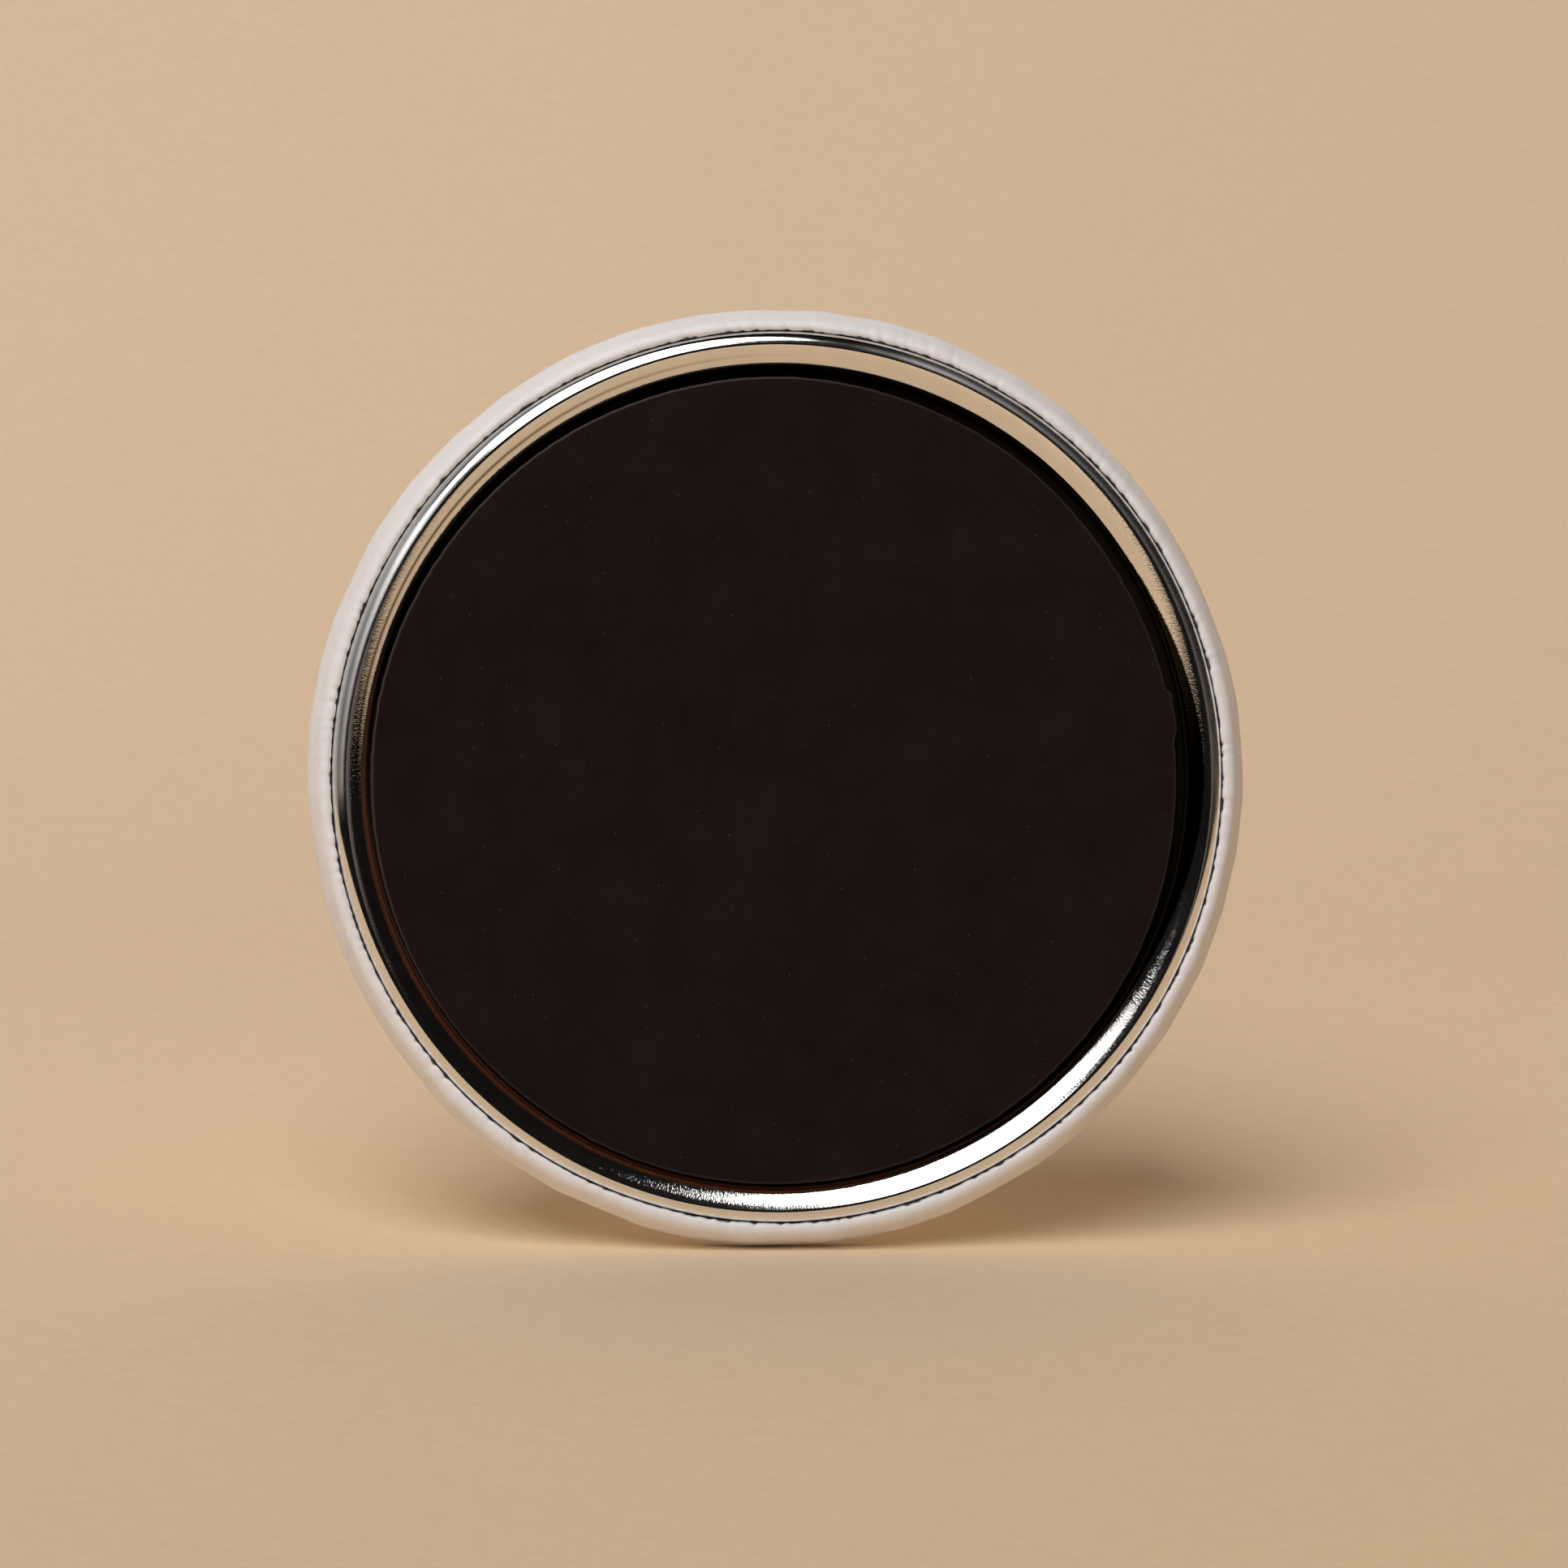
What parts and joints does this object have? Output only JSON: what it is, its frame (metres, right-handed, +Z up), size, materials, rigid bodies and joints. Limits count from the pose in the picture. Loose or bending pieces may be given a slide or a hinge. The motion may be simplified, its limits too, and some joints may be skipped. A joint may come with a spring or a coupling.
{
  "type": "button fridge magnet",
  "caption": "Round crimped button fridge magnet: blank domed paper face under clear film, drawn tinplate back, and a flexible magnet disc set in the back's recess.",
  "frame": {"origin": "on the magnet's holding face, where the button's axis meets it", "axes": "+Y along the button's axis from the holding face towards the dome, +Z up, +X to the right when looking at the magnet side"},
  "size_m": [0.058, 0.0057, 0.058],
  "materials": {
    "shell_tinplate": "plain tinplate sheet, hidden under the paper",
    "white_paper": "smooth white printing paper, blank",
    "clear_film": "clear glossy polyester film",
    "bright_tinplate": "bright tinplate with fine drawing marks",
    "pale_adhesive": "thin pale adhesive layer",
    "ferrite_rubber": "matte very dark brown ferrite-filled rubber, die cut"
  },
  "bodies": {
    "root": {"front_shell": "shell_tinplate", "face_paper": "white_paper", "clear_film": "clear_film", "back_plate": "bright_tinplate", "adhesive_disc": "pale_adhesive", "magnet_disc": "ferrite_rubber"}
  },
  "joints": []
}
